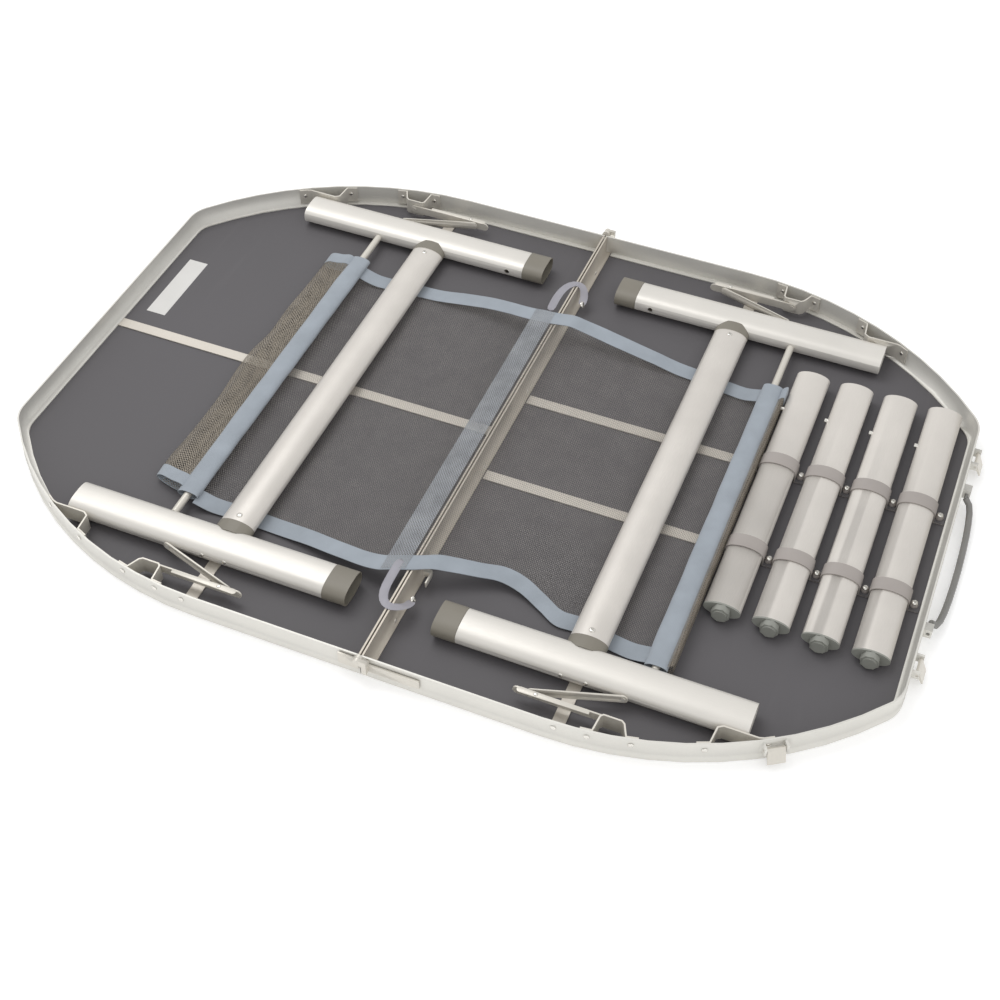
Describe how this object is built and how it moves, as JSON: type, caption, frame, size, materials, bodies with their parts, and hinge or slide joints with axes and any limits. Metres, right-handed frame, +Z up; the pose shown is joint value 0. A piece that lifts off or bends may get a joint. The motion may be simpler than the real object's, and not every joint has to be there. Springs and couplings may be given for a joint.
{
  "type": "folding camping table",
  "caption": "Bi-fold aluminium camping table, face down, with folded legs, a net shelf and clipped extension legs.",
  "frame": {"origin": "centre of the bounding box, on the floor the tabletop lies on", "axes": "+X along the length towards the half with the carry handle, +Y across, parallel to the fold line, +Z up, from the tabletop face to the underside"},
  "size_m": [1.2241, 0.8716, 0.0392],
  "materials": {
    "frame_aluminium": "satin",
    "tube_aluminium": "satin anodised",
    "panel": "matte",
    "zinc_steel": "zinc plated",
    "collar_plastic": "matte",
    "clip_plastic": "matte",
    "foot_plastic": "matte",
    "handle_plastic": "matte",
    "net_fabric": "woven mesh"
  },
  "bodies": {
    "left_half": {"left_panel": "panel", "left_rim": "frame_aluminium", "left_centre_rail": "frame_aluminium", "left_ribs": "frame_aluminium", "fold_hinge_left_leaf_near": "zinc_steel", "fold_hinge_left_leaf_far": "zinc_steel", "leg_bracket_left_near": "zinc_steel", "leg_bracket_left_far": "zinc_steel", "brace_bracket_left_near": "zinc_steel", "brace_bracket_left_far": "zinc_steel", "net_left": "net_fabric"},
    "right_half": {"right_panel": "panel", "right_rim": "frame_aluminium", "right_centre_rail": "frame_aluminium", "right_ribs": "frame_aluminium", "fold_hinge_right_leaf_near": "zinc_steel", "fold_hinge_right_leaf_far": "zinc_steel", "leg_bracket_right_near": "zinc_steel", "leg_bracket_right_far": "zinc_steel", "brace_bracket_right_near": "zinc_steel", "brace_bracket_right_far": "zinc_steel", "net_right": "net_fabric", "clip_strip_lower": "clip_plastic", "clip_strip_upper": "clip_plastic"},
    "left_legs": {"leg_tube_left_near": "tube_aluminium", "leg_tube_left_far": "tube_aluminium", "leg_collar_left_near": "collar_plastic", "leg_collar_left_far": "collar_plastic", "cross_tube_left": "tube_aluminium", "net_rod_left": "frame_aluminium"},
    "right_legs": {"leg_tube_right_near": "tube_aluminium", "leg_tube_right_far": "tube_aluminium", "leg_collar_right_near": "collar_plastic", "leg_collar_right_far": "collar_plastic", "cross_tube_right": "tube_aluminium", "net_rod_right": "frame_aluminium"},
    "lever_left_near": {"brace_lever_left_near": "zinc_steel"},
    "link_left_near": {"brace_link_left_near": "zinc_steel"},
    "lever_left_far": {"brace_lever_left_far": "zinc_steel"},
    "link_left_far": {"brace_link_left_far": "zinc_steel"},
    "lever_right_near": {"brace_lever_right_near": "zinc_steel"},
    "link_right_near": {"brace_link_right_near": "zinc_steel"},
    "lever_right_far": {"brace_lever_right_far": "zinc_steel"},
    "link_right_far": {"brace_link_right_far": "zinc_steel"},
    "extension_1": {"extension_tube_1": "tube_aluminium"},
    "foot_1": {"screw_foot_1": "foot_plastic"},
    "button_1": {"snap_button_1": "zinc_steel"},
    "extension_2": {"extension_tube_2": "tube_aluminium"},
    "foot_2": {"screw_foot_2": "foot_plastic"},
    "button_2": {"snap_button_2": "zinc_steel"},
    "extension_3": {"extension_tube_3": "tube_aluminium"},
    "foot_3": {"screw_foot_3": "foot_plastic"},
    "button_3": {"snap_button_3": "zinc_steel"},
    "extension_4": {"extension_tube_4": "tube_aluminium"},
    "foot_4": {"screw_foot_4": "foot_plastic"},
    "button_4": {"snap_button_4": "zinc_steel"},
    "handle": {"carry_handle": "handle_plastic"},
    "end_latch_near_lever": {"end_latch_near": "zinc_steel"},
    "end_latch_far_lever": {"end_latch_far": "zinc_steel"},
    "side_latch_lever": {"side_latch": "zinc_steel"}
  },
  "joints": [
    {"name": "main_fold", "type": "hinge", "parent": "left_half", "child": "right_half", "pos_m": [-0.012, 0, 0.0343], "axis": [0, 1, 0], "range_deg": [-180, 0]},
    {"name": "left_leg_fold", "type": "hinge", "parent": "left_half", "child": "left_legs", "pos_m": [-0.452, 0, 0.0202], "axis": [0, -1, 0], "range_deg": [0, 90]},
    {"name": "right_leg_fold", "type": "hinge", "parent": "right_half", "child": "right_legs", "pos_m": [0.428, 0, 0.0202], "axis": [0, 1, 0], "range_deg": [0, 90]},
    {"name": "lever_left_near_swing", "type": "hinge", "parent": "left_half", "child": "lever_left_near", "pos_m": [-0.312, -0.389, 0.0202], "axis": [0, -1, 0], "range_deg": [0, 126]},
    {"name": "link_left_near_swing", "type": "hinge", "parent": "left_legs", "child": "link_left_near", "pos_m": [-0.312, -0.3545, 0.0202], "axis": [0, -1, 0], "range_deg": [-126, 0]},
    {"name": "lever_left_far_swing", "type": "hinge", "parent": "left_half", "child": "lever_left_far", "pos_m": [-0.312, 0.389, 0.0202], "axis": [0, -1, 0], "range_deg": [0, 126]},
    {"name": "link_left_far_swing", "type": "hinge", "parent": "left_legs", "child": "link_left_far", "pos_m": [-0.312, 0.3545, 0.0202], "axis": [0, -1, 0], "range_deg": [-126, 0]},
    {"name": "lever_right_near_swing", "type": "hinge", "parent": "right_half", "child": "lever_right_near", "pos_m": [0.288, -0.389, 0.0202], "axis": [0, 1, 0], "range_deg": [0, 126]},
    {"name": "link_right_near_swing", "type": "hinge", "parent": "right_legs", "child": "link_right_near", "pos_m": [0.288, -0.3545, 0.0202], "axis": [0, 1, 0], "range_deg": [-126, 0]},
    {"name": "lever_right_far_swing", "type": "hinge", "parent": "right_half", "child": "lever_right_far", "pos_m": [0.288, 0.389, 0.0202], "axis": [0, 1, 0], "range_deg": [0, 126]},
    {"name": "link_right_far_swing", "type": "hinge", "parent": "right_legs", "child": "link_right_far", "pos_m": [0.288, 0.3545, 0.0202], "axis": [0, 1, 0], "range_deg": [-126, 0]},
    {"name": "extension_1_slide", "type": "slide", "parent": "right_half", "child": "extension_1", "axis": [0, 1, 0], "range_m": [-0.06, 0.04]},
    {"name": "foot_1_screw_out", "type": "slide", "parent": "extension_1", "child": "foot_1", "axis": [0, -1, 0], "range_m": [0, 0.015]},
    {"name": "button_1_press", "type": "slide", "parent": "extension_1", "child": "button_1", "axis": [1, 0, 0], "range_m": [0, 0.003], "stiffness_N_per_m": 500, "springref_m": -0.002},
    {"name": "extension_2_slide", "type": "slide", "parent": "right_half", "child": "extension_2", "axis": [0, 1, 0], "range_m": [-0.06, 0.04]},
    {"name": "foot_2_screw_out", "type": "slide", "parent": "extension_2", "child": "foot_2", "axis": [0, -1, 0], "range_m": [0, 0.015]},
    {"name": "button_2_press", "type": "slide", "parent": "extension_2", "child": "button_2", "axis": [1, 0, 0], "range_m": [0, 0.003], "stiffness_N_per_m": 500, "springref_m": -0.002},
    {"name": "extension_3_slide", "type": "slide", "parent": "right_half", "child": "extension_3", "axis": [0, 1, 0], "range_m": [-0.06, 0.04]},
    {"name": "foot_3_screw_out", "type": "slide", "parent": "extension_3", "child": "foot_3", "axis": [0, -1, 0], "range_m": [0, 0.015]},
    {"name": "button_3_press", "type": "slide", "parent": "extension_3", "child": "button_3", "axis": [1, 0, 0], "range_m": [0, 0.003], "stiffness_N_per_m": 500, "springref_m": -0.002},
    {"name": "extension_4_slide", "type": "slide", "parent": "right_half", "child": "extension_4", "axis": [0, 1, 0], "range_m": [-0.045, 0]},
    {"name": "foot_4_screw_out", "type": "slide", "parent": "extension_4", "child": "foot_4", "axis": [0, -1, 0], "range_m": [0, 0.015]},
    {"name": "button_4_press", "type": "slide", "parent": "extension_4", "child": "button_4", "axis": [1, 0, 0], "range_m": [0, 0.003], "stiffness_N_per_m": 500, "springref_m": -0.002},
    {"name": "handle_swing", "type": "hinge", "parent": "right_half", "child": "handle", "pos_m": [0.5928, 0, 0.0215], "axis": [0, -1, 0], "range_deg": [-20, 125]},
    {"name": "end_latch_near_open", "type": "hinge", "parent": "right_half", "child": "end_latch_near_lever", "pos_m": [0.5932, -0.181, 0.024], "axis": [0, -1, 0], "range_deg": [0, 110]},
    {"name": "end_latch_far_open", "type": "hinge", "parent": "right_half", "child": "end_latch_far_lever", "pos_m": [0.5932, 0.181, 0.024], "axis": [0, -1, 0], "range_deg": [0, 110]},
    {"name": "side_latch_open", "type": "hinge", "parent": "right_half", "child": "side_latch_lever", "pos_m": [0.46892, -0.3554, 0.024], "axis": [-0.8414, -0.5404, 0], "range_deg": [0, 110]}
  ],
  "couplings": [
    {"joint": "lever_left_near_swing", "follows": "left_leg_fold", "ratio": 1.4},
    {"joint": "link_left_near_swing", "follows": "left_leg_fold", "ratio": -1.4},
    {"joint": "lever_left_far_swing", "follows": "left_leg_fold", "ratio": 1.4},
    {"joint": "link_left_far_swing", "follows": "left_leg_fold", "ratio": -1.4},
    {"joint": "lever_right_near_swing", "follows": "right_leg_fold", "ratio": 1.4},
    {"joint": "link_right_near_swing", "follows": "right_leg_fold", "ratio": -1.4},
    {"joint": "lever_right_far_swing", "follows": "right_leg_fold", "ratio": 1.4},
    {"joint": "link_right_far_swing", "follows": "right_leg_fold", "ratio": -1.4}
  ]
}
